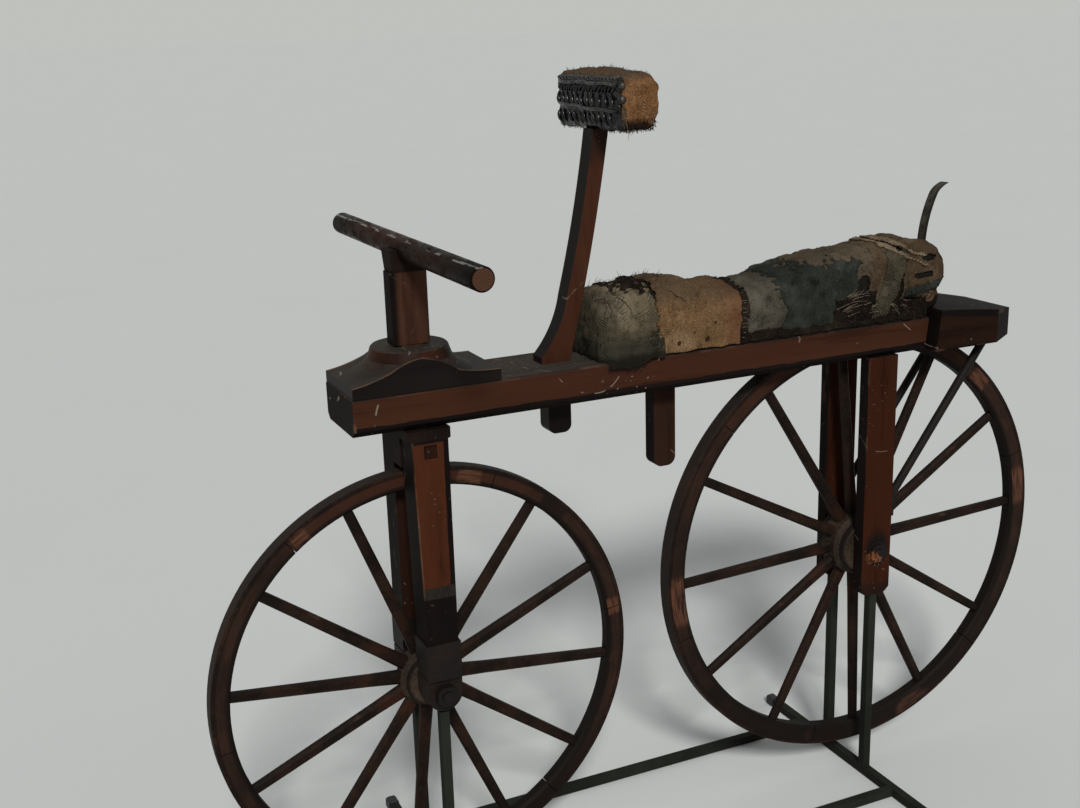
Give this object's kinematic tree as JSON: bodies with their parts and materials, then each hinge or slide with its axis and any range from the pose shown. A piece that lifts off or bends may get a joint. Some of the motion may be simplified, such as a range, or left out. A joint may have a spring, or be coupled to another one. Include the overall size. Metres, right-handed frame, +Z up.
{
  "type": "draisine",
  "caption": "Early wooden running machine with a steered front wheel, padded arm rest and long cushion seat, standing on a steel bar display stand.",
  "frame": {"origin": "on the floor, under the middle of the whole machine", "axes": "+X along the machine to its rear, +Y to its right side, +Z up"},
  "size_m": [1.3699, 0.53, 1.135],
  "materials": {
    "painted_wood": "old red-brown oil paint, worn and dusty",
    "dark_wood": "old black-brown paint with grey dust",
    "wheel_wood": "dark worn wood with traces of brown paint",
    "wrought_iron": "dark forged iron, lightly rusted",
    "cushion_cloth": "patched and frayed woollen cloth",
    "pad_leather": "woven dark leather strips over worn cloth",
    "stand_paint": "dark grey matt paint",
    "cap_plastic": "black plastic"
  },
  "bodies": {
    "frame": {"beam": "painted_wood", "tail_block": "painted_wood", "steering_bolster": "dark_wood", "rear_leg_left": "painted_wood", "rear_leg_right": "painted_wood", "rear_stay_left": "wrought_iron", "rear_stay_right": "wrought_iron", "rear_axle": "wrought_iron", "rear_axle_washers": "wrought_iron", "rear_axle_nuts": "wrought_iron", "arm_rest_post": "painted_wood", "arm_rest_pad": "pad_leather", "hanging_tongue": "painted_wood", "seat_board": "dark_wood", "seat_cushion": "cushion_cloth", "stand_cross_bars": "stand_paint", "stand_long_bars": "stand_paint", "stand_front_uprights": "stand_paint", "stand_rear_uprights": "stand_paint", "stand_end_caps": "cap_plastic", "seat_strap": "pad_leather"},
    "front_fork": {"fork_crown_plate": "dark_wood", "fork_crown_block": "dark_wood", "fork_leg_left": "painted_wood", "fork_leg_right": "painted_wood", "fork_shoe_left": "wrought_iron", "fork_shoe_right": "wrought_iron", "front_axle": "wrought_iron", "front_axle_nuts": "wrought_iron", "steering_post": "painted_wood", "handlebar_neck": "dark_wood", "handlebar": "dark_wood"},
    "front_wheel": {"front_wheel_iron_tyre": "wrought_iron", "front_wheel_felloes": "wheel_wood", "front_wheel_spokes": "wheel_wood", "front_wheel_hub": "wheel_wood", "front_wheel_hub_bands": "wrought_iron"},
    "rear_wheel": {"rear_wheel_iron_tyre": "wrought_iron", "rear_wheel_felloes": "wheel_wood", "rear_wheel_spokes": "wheel_wood", "rear_wheel_hub": "wheel_wood", "rear_wheel_hub_bands": "wrought_iron"}
  },
  "joints": [
    {"name": "steering", "type": "hinge", "parent": "frame", "child": "front_fork", "pos_m": [-0.382, 0, 0.728], "axis": [0, 0, 1], "range_deg": [-40, 40]},
    {"name": "front_wheel_spin", "type": "hinge", "parent": "front_fork", "child": "front_wheel", "pos_m": [-0.382, 0, 0.332], "axis": [0, 1, 0], "continuous": true},
    {"name": "rear_wheel_spin", "type": "hinge", "parent": "frame", "child": "rear_wheel", "pos_m": [0.34, 0, 0.391], "axis": [0, 1, 0], "continuous": true}
  ]
}
